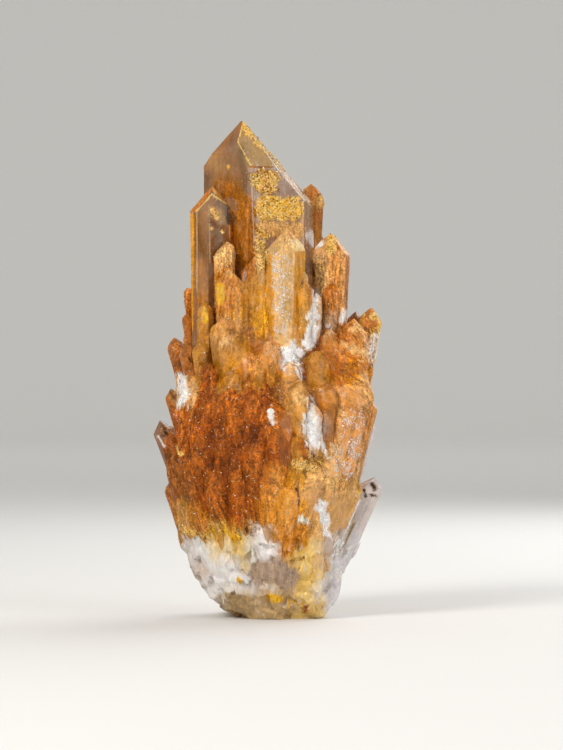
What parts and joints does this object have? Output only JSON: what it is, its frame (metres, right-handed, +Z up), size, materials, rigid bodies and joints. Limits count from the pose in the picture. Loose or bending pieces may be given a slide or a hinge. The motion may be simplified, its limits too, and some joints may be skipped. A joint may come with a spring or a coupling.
{
  "type": "golden healer quartz cluster",
  "caption": "Iron-stained golden healer quartz crystal cluster: a tall glassy point ringed by overlapping crusted side crystals, broken flat below so that it stands as a display specimen.",
  "frame": {"origin": "middle of the cluster's bounding box, on the surface that it stands on", "axes": "+Z up along the tall crystal, +X to the right and -Y towards the viewer of the picture"},
  "size_m": [0.0638, 0.0554, 0.1382],
  "materials": {
    "iron_stained_quartz": "iron-stained quartz: rusty orange granular crust and amber translucent faces, milky white low down, glassy smoky tip",
    "drusy_quartz": "tiny sparkling quartz and golden limonite grains on the faces",
    "quartz_inclusions": "yellow limonite spots and milky veils sealed in the clear crystals"
  },
  "bodies": {
    "root": {"quartz_cluster": "iron_stained_quartz"}
  },
  "joints": []
}
